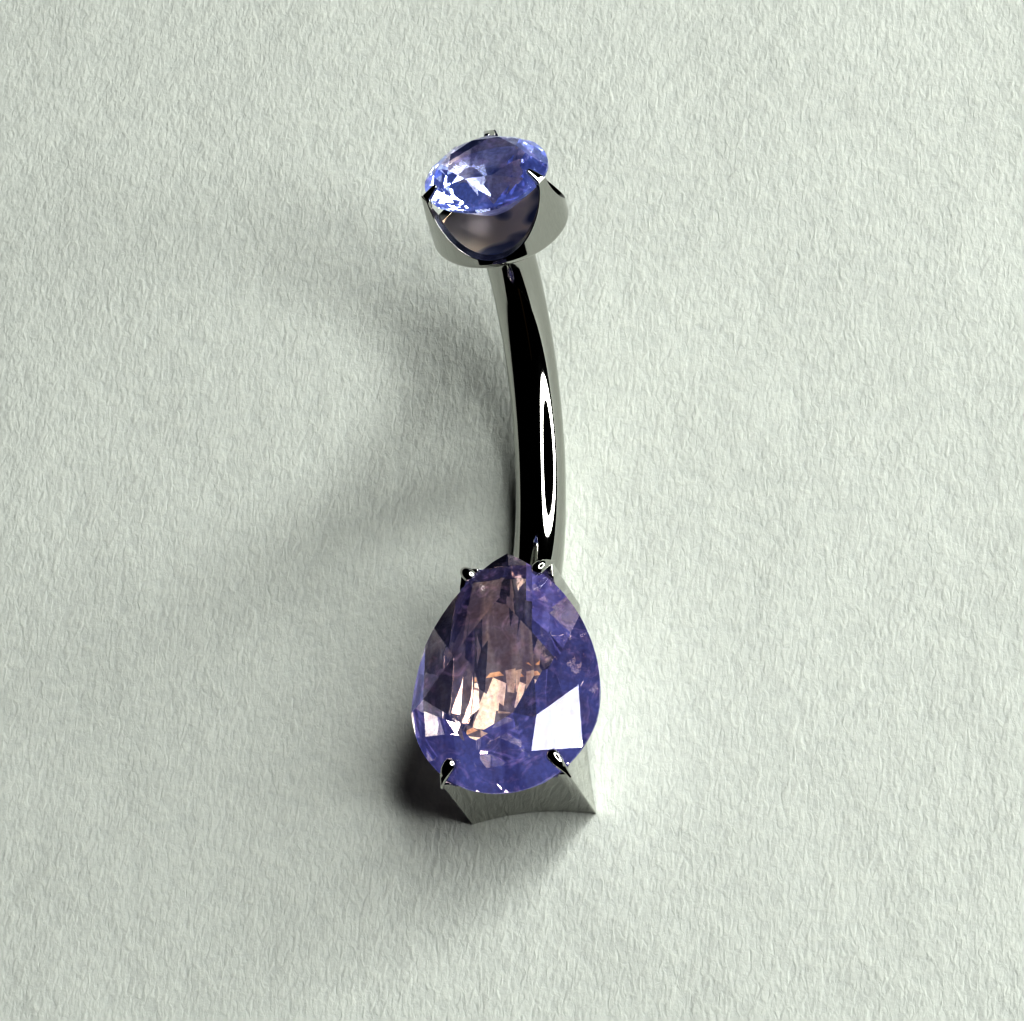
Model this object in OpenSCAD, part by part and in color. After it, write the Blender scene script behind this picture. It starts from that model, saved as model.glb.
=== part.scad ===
// Navel ring: a curved bar that lies on its side arch, with a pear-cut stone in an open basket
// at the low end and a small round stone in a three-claw cup at the high end.
// Lengths are in millimetres, angles in degrees. The ring is drawn first with the pear stone's
// girdle level and its round end's centre at the origin, then leaned over to lie on a table.

/* [Bar] */
// Diameter of the bar, 14 gauge
bar_d = 1.63; // [1.3:0.01:1.9]
// Radius of the bar's bend, to its centre line
bend_r = 7.85; // [7.2:0.05:9]
// How steeply the bar falls away from the basket
bar_fall = 27; // [24:1:32]
// How steeply the bar rises into the cup
bar_rise = 63; // [56:1:70]
// Straight stretch of the bar under the cup
bar_straight = 0.85; // [0.6:0.05:2]
// Straight stretch of the bar beside the basket
bar_stub = 0.58; // [0.4:0.02:1]
// Height of the bar's centre line above the basket's foot, where they are soldered
bar_root_h = 0.63; // [0.55:0.01:0.9]

/* [Pear stone] */
// Width of the pear stone
pear_w = 6; // [5.6:0.1:6.6]
// Length of the pear stone, from its round end to its tip
pear_l = 8; // [7.6:0.1:9]
// Height of its crown, from the girdle's middle to the table
pear_crown = 0.85; // [0.6:0.05:1.1]
// Depth of its pavilion, from the girdle's middle to the culet
pear_pavilion = 2.4; // [2:0.1:2.7]
// Width of the sloping crown between the girdle and the table
pear_bezel = 1.5; // [1.2:0.05:1.8]

/* [Round stone] */
// Diameter of the round stone
round_d = 4; // [3.6:0.1:4.4]
// Height of its crown, from the girdle's middle to the table
round_crown = 0.65; // [0.5:0.05:0.8]
// Depth of its pavilion, from the girdle's middle to the culet
round_pavilion = 1.7; // [1.5:0.05:1.75]
// Width of the sloping crown between the girdle and the table
round_bezel = 0.85; // [0.7:0.05:1]

/* [Both stones] */
// Thickness of a girdle where a main facet touches it
girdle_t = 0.12; // [0.06:0.01:0.2]
// Space left between a stone and its metal
stone_gap = 0.03; // [0.02:0.01:0.05]

/* [Pear basket] */
// Depth of the basket, from the pear stone's girdle to the feet
basket_h = 3.5; // [3.2:0.1:4.2]
// Thickness of the basket's four walls
basket_wall = 0.5; // [0.4:0.05:0.6]
// Direction of the two round-end corners, below the pear's widest line
front_turn = 52; // [46:1:58]
// Direction of the two tip corners, above the pear's widest line
rear_turn = 48; // [44:1:54]
// How far the round-end corners stand out from the stone's edge
front_out = 0.26; // [0.22:0.02:0.4]
// How far the tip corners stand out from the stone's edge
rear_out = 0.5; // [0.4:0.02:0.6]
// How far the front wall is scooped in at the feet
front_scoop = 0.24; // [0.1:0.02:0.4]
// How far each side wall is scooped in at the feet
side_scoop = 0.14; // [0.06:0.02:0.3]
// How far the rear wall is scooped in at the feet
rear_scoop = 0.16; // [0.06:0.02:0.3]
// How much shallower the scoops are at the girdle than at the feet
scoop_fade = 0.08; // [0:0.02:0.1]

/* [Basket claws] */
// Radius of a claw's round tip
claw_tip_r = 0.21; // [0.17:0.01:0.24]
// How far a round-end claw reaches in from its corner, over the crown
front_reach = 0.82; // [0.7:0.02:1]
// How far a tip claw reaches in from its corner, over the crown
rear_reach = 0.74; // [0.66:0.02:0.8]
// Height of a claw's tip centre above the girdle
claw_rise = 0.42; // [0.36:0.02:0.5]

/* [Round cup] */
// Outer diameter of the cup
cup_d = 4.45; // [4.4:0.05:4.9]
// Height from the cup's flat underside to the round stone's girdle
cup_seat_h = 2.15; // [2.05:0.05:2.4]
// Thickness of the cup's wall
cup_wall = 0.34; // [0.3:0.02:0.4]
// Radius of the round edge under the cup
cup_edge_r = 0.22; // [0.14:0.02:0.3]
// Height of the rim that each scallop leaves
cup_rim_h = 0.28; // [0.2:0.02:0.36]
// Least thickness of the cup's dished floor
cup_floor = 0.08; // [0.05:0.01:0.1]
// Height of the dished floor where it meets the wall
dish_h = 0.36; // [0.3:0.02:0.5]

/* [Cup claws] */
// How far the cup is turned round its post
cup_turn = 4; // [0:1:8]
// Width of a cup claw
cup_claw_w = 0.34; // [0.3:0.02:0.5]
// Thickness of a cup claw's bent finger
cup_claw_t = 0.24; // [0.2:0.02:0.3]
// Height above the girdle at which a cup claw bends in
cup_claw_h = 0.2; // [0.16:0.02:0.3]
// How far a cup claw's finger reaches in from the cup's outside
cup_claw_reach = 0.56; // [0.5:0.02:0.7]
// How steeply the finger rises towards the stone's middle
cup_claw_lean = 32; // [26:1:38]

/* [Hidden post] */
// Diameter of the cup's post inside the bar
post_d = 0.9; // [0.7:0.05:0.95]
// Length of the post below the cup
post_l = 2; // [1.5:0.1:2.2]
// Space all round the post in the bar, and under the cup
post_gap = 0.03; // [0.02:0.01:0.06]

/* [Hidden] */

// Fineness of round shapes, and a length that reaches past everything
round_fn = 48;
far = 40;

// Halves of the sizes above
pear_r = pear_w / 2;
round_r = round_d / 2;
bar_r = bar_d / 2;
cup_r = cup_d / 2;
post_r = post_d / 2;
girdle_half = girdle_t / 2;

// Directions in which each stone's main facets look, right half from tip to round end
pear_crown_dirs = [90, 24, -42, -90];
pear_pavilion_dirs = [90, 50, 8, -42, -90];
round_dirs = [90, 45, 0, -45, -90];

// Where the cup's claws stand: one on the side away from the pear, so a scallop faces the pear
claw_turns = [90, -30, 210];

// Places of facet meeting points: shares of the way down an edge between two main facets
star_share = 0.3;
lower_half_share = 0.22;

// Vectors in the plane, and a point on the edge of a pear outline whose normal has direction a
function unit(a) = [cos(a), sin(a)];
function cross2(u, v) = u[0] * v[1] - u[1] * v[0];
function shoulder_r(w, l) = (pow(w / 2, 2) + pow(l - w / 2, 2)) / w;
function touch_right(w, l, a) =
    let (r = w / 2, tip = l - r, big = shoulder_r(w, l))
    a <= 0 ? r * unit(a)
    : a < asin(min(1, tip / big)) ? [r - big, 0] + big * unit(a)
    : [0, tip];
function mirror_x(p) = [-p[0], p[1]];
function touch(w, l, a) =
    abs(a) <= 90 ? touch_right(w, l, a) : mirror_x(touch_right(w, l, (a > 0 ? 180 : -180) - a));
function support(w, l, a) = unit(a) * touch(w, l, a);

// All directions round a stone, from the tip clockwise, made from those of its right half
function ring_dirs(right) =
    concat(right, [for (i = [len(right) - 2 : -1 : 1]) (right[i] > 0 ? 180 : -180) - right[i]]);

// The point where two straight lines meet, each given by its normal's direction and distance
function lines_meet(a, da, b, db) =
    let (u = unit(a), v = unit(b), k = cross2(u, v))
    [(da * v[1] - db * u[1]) / k, (u[0] * db - v[0] * da) / k];
// Middle direction between two that follow each other clockwise
function halfway(a, b) = let (turn = (a - b + 720) % 360) a - turn / 2;
function tidy_angle(a) = a <= -180 ? a + 360 : a > 180 ? a - 360 : a;

// A facet is a plane [azimuth, slope, distance]: azimuth and slope are of its outward normal,
// distance is from the origin. This one leans at a slope through a level line and a point.
function lean_plane(a, reach, level, point) =
    let (run = reach - unit(a) * [point[0], point[1]], rise = point[2] - level)
    let (slope = atan2(rise, run))
    [a, slope, reach * sin(slope) + level * cos(slope)];

// Facet planes of a crown, for an outline of width w and length l, or just its main ones
function crown_planes(w, l, right, top, bezel, mains_only) =
    let (dirs = ring_dirs(right), n = len(dirs), g = girdle_half, slope = atan2(top - g, bezel))
    let (
        corner = [for (a = dirs) touch(w, l, a) - bezel * unit(a)],
        meet = [for (i = [0 : n - 1])
            let (a = dirs[i], b = dirs[(i + 1) % n], in = bezel * (1 - star_share))
            let (p = lines_meet(a, support(w, l, a) - in, b, support(w, l, b) - in))
            [p[0], p[1], g + (top - g) * (1 - star_share)]]
    )
    concat(
        [[0, 0, top]],
        [for (a = dirs) [a, slope, support(w, l, a) * sin(slope) + g * cos(slope)]],
        mains_only ? [] : [for (i = [0 : n - 1])
            let (c = corner[i], d = corner[(i + 1) % n], a = atan2(c[0] - d[0], d[1] - c[1]))
            lean_plane(a, unit(a) * c, top, meet[i])],
        mains_only ? [] : [for (i = [0 : n - 1], side = [0, 1])
            let (a = dirs[i], b = dirs[(i + 1) % n], m = halfway(a, b))
            let (u = tidy_angle(side == 0 ? halfway(a, m) : halfway(m, b)))
            lean_plane(u, support(w, l, u), g, meet[i])]
    );

// Facet planes of a pavilion that ends in a point under the origin, drawn upside up
function pavilion_planes(w, l, right, depth, mains_only) =
    let (dirs = ring_dirs(right), n = len(dirs), g = girdle_half, s = 1 - lower_half_share)
    concat(
        [for (a = dirs) lean_plane(a, support(w, l, a), g, [0, 0, depth])],
        mains_only ? [] : [for (i = [0 : n - 1], side = [0, 1])
            let (a = dirs[i], b = dirs[(i + 1) % n], m = halfway(a, b))
            let (u = tidy_angle(side == 0 ? halfway(a, m) : halfway(m, b)))
            let (p = lines_meet(a, support(w, l, a), b, support(w, l, b)) * (1 - s))
            lean_plane(u, support(w, l, u), g, [p[0], p[1], g + (depth - g) * s])]
    );

// Flat outline of a stone, larger by grow all round
module stone_outline(w, l, grow) {
    big = shoulder_r(w, l);
    intersection() {
        circle(r = w / 2 + grow, $fn = round_fn);
        translate([-far, -2 * far]) square([2 * far, 2 * far]);
    }
    intersection() {
        translate([w / 2 - big, 0]) circle(r = big + grow, $fn = round_fn);
        translate([big - w / 2, 0]) circle(r = big + grow, $fn = round_fn);
        translate([-far, 0]) square([2 * far, 2 * far]);
    }
}

// Everything on the inner side of a facet plane
module inner_side(plane, grow) {
    rotate([0, plane[1], plane[0]]) translate([-far, -far, plane[2] + grow - 2 * far])
        cube([2 * far, 2 * far, 2 * far]);
}

// A cut stone: its outline, cut down by each facet plane as a wheel would. With grow, it is
// the space that the stone needs: larger all round, and bounded by the main facets alone.
module cut_stone(w, l, crown_dirs, pavilion_dirs, top, bezel, depth, grow) {
    plain = grow > 0;
    intersection() {
        translate([0, 0, -far / 2]) linear_extrude(far) stone_outline(w, l, grow);
        intersection_for (plane = crown_planes(w, l, crown_dirs, top, bezel, plain))
            inner_side(plane, grow);
        mirror([0, 0, 1])
            intersection_for (plane = pavilion_planes(w, l, pavilion_dirs, depth, plain))
                inner_side(plane, grow);
    }
}

module pear_cut(grow) {
    cut_stone(pear_w, pear_l, pear_crown_dirs, pear_pavilion_dirs,
        pear_crown, pear_bezel, pear_pavilion, grow);
}

module round_cut() {
    cut_stone(round_d, round_d, round_dirs, round_dirs,
        round_crown, round_bezel, round_pavilion, 0);
}

// The space round the round stone, as a turned profile that its outermost edges just fit in:
// the girdle is thicker between main facets, and the crown's steeper half facets end at a knee
module round_space(grow) {
    mains = len(ring_dirs(round_dirs));
    knee_r = (round_r - round_bezel * (1 - star_share)) / cos(180 / mains);
    knee_h = girdle_half + (round_crown - girdle_half) * (1 - star_share);
    half_slope = (knee_h - girdle_half) / (round_r - knee_r * cos(90 / mains));
    girdle_h = girdle_half + round_r * (1 - cos(90 / mains)) * half_slope + grow;
    reach = round_r + grow;
    rotate_extrude($fn = 2 * round_fn) polygon([[0, -round_pavilion - grow], [reach, -girdle_h],
        [reach, girdle_h], [knee_r + grow, knee_h + grow],
        [round_r - round_bezel + grow, round_crown + grow], [0, round_crown + grow]]);
}

// Basket corners, in order round the plan, and the scoop that joins each pair of them
function corner_at(a, out) = touch(pear_w, pear_l, a) + out * unit(a);
front_corner = corner_at(-front_turn, front_out);
rear_corner = corner_at(rear_turn, rear_out);
corners = [front_corner, rear_corner, mirror_x(rear_corner), mirror_x(front_corner)];
scoops = [side_scoop, rear_scoop, side_scoop, front_scoop];
foot_y = front_corner[1];
foot_z = -basket_h;

// Centre line of the bar in the middle plane: its root on the rear wall, bend centre and end
root_y = rear_corner[1] - rear_scoop;
root_z = foot_z + bar_root_h;
bend_y = root_y + bar_stub * cos(bar_fall) + bend_r * sin(bar_fall);
bend_z = root_z - bar_stub * sin(bar_fall) + bend_r * cos(bar_fall);
end_y = bend_y + bend_r * sin(bar_rise) + bar_straight * cos(bar_rise);
end_z = bend_z - bend_r * cos(bar_rise) + bar_straight * sin(bar_rise);
// How far the bar's root goes into the rear wall, and how its straight ends overlap its arc
root_sink = basket_wall / 2;
end_overlap = 0.1;
end_step = 0.006;

// Lean that rests the ring on its two front feet and the underside of the bend
foot_to_bend = norm([bend_y - foot_y, bend_z - foot_z]);
rest_lean = asin((bend_r + bar_r) / foot_to_bend) - atan2(bend_z - foot_z, bend_y - foot_y);
function lain_y(y, z) = y * cos(rest_lean) - z * sin(rest_lean);
function lain_z(y, z) = y * sin(rest_lean) + z * cos(rest_lean);
// The lain ring reaches from the pear's round edge to the far claw of the cup
cup_lean = bar_rise + rest_lean;
near_y = lain_y(-pear_r, girdle_half);
claw_bend_h = cup_seat_h + cup_claw_h;
cup_y = lain_y(end_y, end_z) + post_gap * cos(cup_lean);
far_y = cup_y + claw_bend_h * cos(cup_lean) + cup_r * sin(cup_lean);
mid_y = (near_y + far_y) / 2;
floor_z = lain_z(foot_y, foot_z);

// Puts pieces drawn round the level pear stone into their lying place
module lain() {
    translate([0, -mid_y, -floor_z]) rotate([rest_lean, 0, 0]) children();
}

// Puts pieces drawn on the cup's underside on the bar's end; the front is the pear's side
module on_bar_end(gap) {
    translate([0, end_y, end_z]) rotate([bar_rise - 90, 0, 0]) translate([0, 0, gap]) children();
}

// A slightly leaning cylinder that scoops out the wall between two basket corners
module wall_scoop(a, b, scoop, deeper) {
    chord = norm(b - a);
    scoop_r = (pow(chord / 2, 2) + pow(scoop, 2)) / (2 * scoop);
    mid = (a + b) / 2;
    out = [b[1] - a[1], a[0] - b[0]] / chord;
    translate([mid[0], mid[1], foot_z]) rotate([0, 0, atan2(out[1], out[0])])
        rotate([0, atan2(scoop_fade, basket_h), 0]) translate([scoop_r - scoop, 0, -basket_h])
            cylinder(r = scoop_r + deeper, h = 3 * basket_h, $fn = 4 * round_fn);
}

// Upright block of the basket's plan between two heights, scooped on its four sides
module basket_block(low, high, deeper) {
    difference() {
        translate([0, 0, low]) linear_extrude(high - low) polygon(corners);
        for (i = [0 : 3]) wall_scoop(corners[i], corners[(i + 1) % 4], scoops[i], deeper);
    }
}

// One basket claw: a cone that grows from the corner's edge into a round tip over the crown
module basket_claw(corner, a, reach) {
    start = [corner[0], corner[1], 0] - claw_tip_r / 3 * [cos(a), sin(a), 0];
    run = reach - claw_tip_r - claw_tip_r / 3;
    slope = atan2(claw_rise, run);
    translate(start) rotate([0, 0, a + 180]) rotate([0, 90 - slope, 0]) {
        cylinder(r1 = claw_tip_r / 3, r2 = claw_tip_r, h = norm([run, claw_rise]), $fn = round_fn);
        translate([0, 0, norm([run, claw_rise])]) sphere(r = claw_tip_r, $fn = round_fn / 2);
    }
}

module basket_claws() {
    basket_claw(front_corner, -front_turn, front_reach);
    basket_claw(rear_corner, rear_turn, rear_reach);
    basket_claw(mirror_x(rear_corner), 180 - rear_turn, rear_reach);
    basket_claw(mirror_x(front_corner), 180 + front_turn, front_reach);
}

// The bar: an arc between two straight ends, the lower one sunk in the rear wall and the upper
// one bored for the post. The ends are a hair thicker, so each overlaps the arc cleanly.
module bar() {
    overlap = asin(end_overlap / bend_r);
    difference() {
        union() {
            translate([0, root_y, root_z]) rotate([-90 - bar_fall, 0, 0]) translate([0, 0, -root_sink])
                cylinder(r = bar_r + end_step, h = bar_stub + root_sink, $fn = round_fn);
            translate([0, bend_y, bend_z]) rotate([90, 0, 90]) rotate([0, 0, -90 - bar_fall - overlap])
                rotate_extrude(angle = bar_rise + bar_fall + 2 * overlap, $fn = 2 * round_fn)
                    translate([bend_r, 0]) circle(r = bar_r, $fn = round_fn);
            on_bar_end(-bar_straight) cylinder(r = bar_r + end_step, h = bar_straight, $fn = round_fn);
        }
        on_bar_end(-post_l) translate([0, 0, -post_gap])
            cylinder(r = post_r + post_gap, h = post_l + 1, $fn = round_fn);
    }
}

// Bar, basket and basket claws are soldered, so they are one solid
module curved_bar() {
    color([0.62, 0.63, 0.62]) lain() difference() {
        union() {
            basket_block(foot_z, girdle_half, 0);
            basket_claws();
            bar();
        }
        basket_block(foot_z - 1, -2 * girdle_t, basket_wall);
        pear_cut(stone_gap);
    }
}

module pear_stone() {
    color([0.55, 0.48, 0.85]) lain() pear_cut(0);
}

// Round body of the cup with its soft lower edge and dished inside, standing on its underside
module cup_body() {
    dish_drop = dish_h - cup_floor;
    inner_r = cup_r - cup_wall;
    dish_r = (pow(inner_r, 2) + pow(dish_drop, 2)) / (2 * dish_drop);
    difference() {
        rotate_extrude($fn = 2 * round_fn) {
            square([cup_r - cup_edge_r, claw_bend_h]);
            translate([0, cup_edge_r]) square([cup_r, claw_bend_h - cup_edge_r]);
            translate([cup_r - cup_edge_r, cup_edge_r]) circle(r = cup_edge_r, $fn = round_fn);
        }
        intersection() {
            cylinder(r = inner_r, h = far, $fn = 2 * round_fn);
            union() {
                translate([0, 0, dish_r + cup_floor]) sphere(r = dish_r, $fn = 2 * round_fn);
                translate([0, 0, dish_h]) cylinder(r = far, h = far);
            }
        }
    }
}

// A claw as wide as the wall at its foot and narrow at its bend, for the +X side of the cup
module claw_side() {
    scallop_r = claw_bend_h + girdle_t - cup_rim_h;
    foot_half = cup_r * sin(60);
    rotate([90, 0, 90]) linear_extrude(far) difference() {
        translate([-foot_half, 0]) square([2 * foot_half, claw_bend_h]);
        for (side = [-1, 1])
            translate([side * (cup_claw_w / 2 + scallop_r), cup_rim_h + scallop_r])
                circle(r = scallop_r, $fn = 2 * round_fn);
    }
}

// Bent end of a cup claw, a thin bar that rises over the crown from the cup's outside
module claw_finger() {
    intersection() {
        translate([cup_r, -cup_claw_w / 2, claw_bend_h]) rotate([0, cup_claw_lean, 0])
            translate([-cup_claw_reach, 0, -cup_claw_t])
                cube([cup_claw_reach + cup_claw_t, cup_claw_w, cup_claw_t]);
        cylinder(r = cup_r, h = far, $fn = 2 * round_fn);
    }
}

// The cup, its claws and the hidden post under it
module round_setting() {
    color([0.66, 0.67, 0.66]) lain() on_bar_end(post_gap) rotate([0, 0, cup_turn]) {
        difference() {
            union() {
                intersection() {
                    cup_body();
                    union() {
                        cylinder(r = cup_d, h = cup_rim_h);
                        for (turn = claw_turns) rotate([0, 0, turn]) claw_side();
                    }
                }
                for (turn = claw_turns) rotate([0, 0, turn]) claw_finger();
                translate([0, 0, -post_l]) cylinder(r = post_r, h = post_l + cup_floor / 2, $fn = round_fn);
            }
            translate([0, 0, cup_seat_h]) round_space(stone_gap);
        }
    }
}

module round_stone() {
    color([0.5, 0.5, 0.9]) lain() on_bar_end(post_gap + cup_seat_h) rotate([0, 0, cup_turn]) round_cut();
}

curved_bar();
pear_stone();
round_setting();
round_stone();
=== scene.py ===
# %% [markdown]
# # A navel ring, lying on pale paper
# A curved titanium bar carries a pear-cut stone in an open four-claw basket at its low end and a
# small round stone in a three-claw cup at its high end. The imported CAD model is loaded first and
# gives the fixed frame. All four of its nodes are then made again in place: the metal as smooth
# surfaces, because a mirror finish shows every flat of a coarse mesh, and the stones as solids cut
# by flat facets.

# %% Load the frame
import itertools
import math
import bmesh
import bpy
import numpy as np
from mathutils import Matrix, Vector


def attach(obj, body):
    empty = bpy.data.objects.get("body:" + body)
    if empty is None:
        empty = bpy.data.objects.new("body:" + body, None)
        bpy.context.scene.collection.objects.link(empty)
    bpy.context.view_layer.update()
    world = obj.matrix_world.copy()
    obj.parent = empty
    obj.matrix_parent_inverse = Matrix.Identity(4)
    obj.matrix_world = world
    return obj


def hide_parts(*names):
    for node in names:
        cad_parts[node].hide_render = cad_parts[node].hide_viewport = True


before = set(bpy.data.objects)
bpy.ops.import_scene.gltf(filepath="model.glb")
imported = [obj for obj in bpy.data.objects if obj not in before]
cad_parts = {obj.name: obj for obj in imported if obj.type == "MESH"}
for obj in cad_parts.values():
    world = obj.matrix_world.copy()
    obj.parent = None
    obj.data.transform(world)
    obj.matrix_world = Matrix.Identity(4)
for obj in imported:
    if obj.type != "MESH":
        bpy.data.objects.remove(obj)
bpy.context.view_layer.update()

# %% [markdown]
# ## The ring's sizes
# These are the same named sizes as in the CAD source, in millimetres and degrees, so that each
# surface lands where its solid is. The ring is drawn with the pear stone's girdle level and its
# round end's centre at the origin, and is leaned over afterwards.

# %% Named sizes
bar_d, bend_r, bar_fall, bar_rise = 1.63, 7.85, 27, 63
bar_straight, bar_stub, bar_root_h = 0.85, 0.58, 0.63
pear_w, pear_l, pear_crown, pear_pavilion, pear_bezel = 6, 8, 0.85, 2.4, 1.5
girdle_t, stone_gap = 0.12, 0.03
basket_h, basket_wall, front_turn, rear_turn, front_out, rear_out = 3.5, 0.5, 52, 48, 0.26, 0.5
front_scoop, side_scoop, rear_scoop, scoop_fade = 0.24, 0.14, 0.16, 0.08
claw_tip_r, front_reach, rear_reach, claw_rise = 0.21, 0.82, 0.74, 0.42
cup_d, cup_seat_h, cup_wall, cup_edge_r = 4.45, 2.15, 0.34, 0.22
cup_floor, dish_h, cup_turn = 0.08, 0.36, 4
cup_claw_h, cup_claw_reach, cup_claw_lean = 0.2, 0.56, 32
post_d, post_l, post_gap = 0.9, 2, 0.03
bar_r, pear_r, cup_r, girdle_half = bar_d / 2, pear_w / 2, cup_d / 2, girdle_t / 2


def unit(a):
    """The flat direction at angle a in degrees: its cosine and sine."""
    return np.array([math.cos(math.radians(a)), math.sin(math.radians(a))])


def large_circle(w, l):
    """Radius of the two large circles of a stone of width w and length l, and the direction that
    they face where they meet in its tip. A stone as long as it is wide is one circle, without a tip."""
    tip = l - w / 2
    big = ((w / 2) ** 2 + tip ** 2) / w
    return big, math.degrees(math.asin(min(1, tip / big)))


def outline_touch(w, l, a):
    """The point of a stone's outline whose outward normal has direction a: on the round end's
    circle below the widest line, and on one of two large circles above it, up to the tip."""
    big, tip_turn = large_circle(w, l)
    flip = abs(a) > 90
    b = (180 if a > 0 else -180) - a if flip else a
    if b <= 0:
        p = w / 2 * unit(b)
    elif b < tip_turn:
        p = np.array([w / 2 - big, 0]) + big * unit(b)
    else:
        p = np.array([0.0, l - w / 2])
    return p * (-1, 1) if flip else p


def pear_touch(a):
    """The same for the pear stone's outline."""
    return outline_touch(pear_w, pear_l, a)


front_corner = pear_touch(-front_turn) + front_out * unit(-front_turn)
rear_corner = pear_touch(rear_turn) + rear_out * unit(rear_turn)
foot_z = -basket_h
root = np.array([rear_corner[1] - rear_scoop, foot_z + bar_root_h])
fall, rise = math.radians(bar_fall), math.radians(bar_rise)
bend = root + (bar_stub * math.cos(fall) + bend_r * math.sin(fall),
               -bar_stub * math.sin(fall) + bend_r * math.cos(fall))
bar_end = bend + (bend_r * math.sin(rise) + bar_straight * math.cos(rise),
                  -bend_r * math.cos(rise) + bar_straight * math.sin(rise))
print("basket corners:", front_corner.round(3), rear_corner.round(3), "bar's end:", bar_end.round(3))

# %% [markdown]
# ## Leaning the ring over
# On a table the ring rests on its two front feet and the underside of its bend. That line's slope
# gives the lean, and the lowest point then gives the floor's level.

# %% From the drawing to the table
foot_to_bend = math.hypot(*(bend - (front_corner[1], foot_z)))
lean = (math.asin((bend_r + bar_r) / foot_to_bend)
        - math.atan2(bend[1] - foot_z, bend[0] - front_corner[1]))
cup_lean = rise + lean


def leaned(y, z):
    """Turns a point of the middle plane by the lean: y cos - z sin, y sin + z cos."""
    return y * math.cos(lean) - z * math.sin(lean), y * math.sin(lean) + z * math.cos(lean)


near_y = leaned(-pear_r, girdle_half)[0]
far_y = (leaned(*bar_end)[0] + (post_gap + cup_seat_h + cup_claw_h) * math.cos(cup_lean)
         + cup_r * math.sin(cup_lean))
mid_y, floor_z = (near_y + far_y) / 2, leaned(front_corner[1], foot_z)[1]


def lay(points):
    """Leans drawn points over, sets them on the table and turns millimetres into metres."""
    p = np.asarray(points, float)
    y, z = leaned(p[..., 1], p[..., 2])
    return np.stack([p[..., 0], y - mid_y, z - floor_z], -1) / 1000


def on_bar_end(points):
    """Carries points drawn on the cup's underside, with z up its post, onto the bar's end."""
    p = np.asarray(points, float)
    c, s = unit(cup_turn)
    x, w, h = p[..., 0] * c - p[..., 1] * s, p[..., 0] * s + p[..., 1] * c, p[..., 2] + post_gap
    return np.stack([x, bar_end[0] + w * math.sin(rise) + h * math.cos(rise),
                     bar_end[1] - w * math.cos(rise) + h * math.sin(rise)], -1)


print("lean:", round(math.degrees(lean), 3), "degrees; cup leans", round(math.degrees(cup_lean), 2))

# %% [markdown]
# ## One helper for every smooth surface
# Each metal piece is a grid of points: rings that follow one another, each closed on itself. Rows
# of four-sided faces join them, and a fan to a middle point closes each end. Only the counting of
# corners is done here, so the functions further down hold nothing but shapes. Where two surfaces
# follow one another, ring_step is the distance from the last ring of one to the first of the next.

# %% Rings into a closed mesh
ring_step = 0.02


def add_piece(name, data):
    """Puts a mesh, or what else an object can hold, into the scene."""
    piece = bpy.data.objects.new(name, data)
    bpy.context.scene.collection.objects.link(piece)
    return piece


def full_turn(steps):
    """Even steps round a circle, in radians."""
    return np.linspace(0, 2 * math.pi, steps, endpoint=False)


def sweep(path, normal, section):
    """Carries a section along a path in a plane. Each point of the path has its own row of section
    numbers, which count along the path's normal there. The result is the plane's two places."""
    return (path[:, i, None] + section * normal[:, i, None] for i in (0, 1))


def ring_mesh(name, rings, crease=40, torus=False):
    """Joins rings[i, j] to rings[i + 1, j + 1]. In a torus the last ring joins the first; else a fan
    to the mean of each end ring closes it. The volume is a sixth of the sum of a . (b x c) over the
    triangles; where it is negative, every face is turned to look outwards."""
    n, m = rings.shape[:2]
    points, fans = rings.reshape(-1, 3), np.empty((0, 3), int)
    i, j = np.meshgrid(np.arange(n if torus else n - 1), np.arange(m), indexing="ij")
    i2, k = (i + 1) % n, (j + 1) % m
    quads = np.stack([i * m + j, i * m + k, i2 * m + k, i2 * m + j], -1).reshape(-1, 4)
    if not torus:
        points = np.concatenate([points, rings[[0, -1]].mean(1)])
        j, k, start = np.arange(m), k[0], np.full(m, n * m)
        fans = np.concatenate([np.stack([start, k, j], -1),
                               np.stack([start + 1, (n - 1) * m + j, (n - 1) * m + k], -1)])
    tri = np.concatenate([quads[:, [0, 1, 2]], quads[:, [0, 2, 3]], fans])
    a, b, c = points[tri].transpose(1, 0, 2)
    volume = np.einsum("ij,ij->i", a, np.cross(b, c)).sum() / 6
    if volume < 0:
        quads, fans = quads[:, ::-1], fans[:, ::-1]
    mesh = bpy.data.meshes.new(name)
    mesh.from_pydata(points.tolist(), [], quads.tolist() + fans.tolist())
    mesh.shade_smooth()
    mesh.set_sharp_from_angle(angle=math.radians(crease))
    print(f"{name}: {len(tri)} triangles, {abs(volume) * 1e9:.2f} cubic mm")
    return add_piece(name, mesh)


def settle(piece, material, node):
    """Gives a piece its finish and its body, and hides the CAD node that it stands for."""
    piece.data.materials.append(material)
    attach(piece, "root")
    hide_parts(node)
    return piece


# %% [markdown]
# ## Helpers for finishes
# A finish is a small tree of nodes joined by wires. The same few come back in most of them: a
# noise pattern, a ramp that turns a number into a colour, a bump that tilts the surface, and a
# plain glow for what only shines.

# %% Nodes that come back
def new_material(name):
    """A new material, its node tree and the shader that it starts with."""
    m = bpy.data.materials.new(name)
    m.use_nodes = True
    return m, m.node_tree, m.node_tree.nodes["Principled BSDF"]


def link(tree, start, end):
    """Runs a wire from one node's output to another's input."""
    tree.links.new(start, end)


def add_noise(tree, source, scale, detail, twist=0.0):
    """Noise at the point that source gives: scale waves to the metre, with finer detail in them."""
    n = tree.nodes.new("ShaderNodeTexNoise")
    n.inputs["Scale"].default_value = scale
    n.inputs["Detail"].default_value = detail
    n.inputs["Distortion"].default_value = twist
    link(tree, source, n.inputs["Vector"])
    return n.outputs["Fac"]


def add_ramp(tree, value, stops):
    """Turns a number into colours by a ramp of two (place, colour) stops."""
    r = tree.nodes.new("ShaderNodeValToRGB")
    for element, (at, colour) in zip(r.color_ramp.elements, stops):
        element.position, element.color = at, (*colour, 1)
    link(tree, value, r.inputs["Fac"])
    return r.outputs["Color"]


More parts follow.
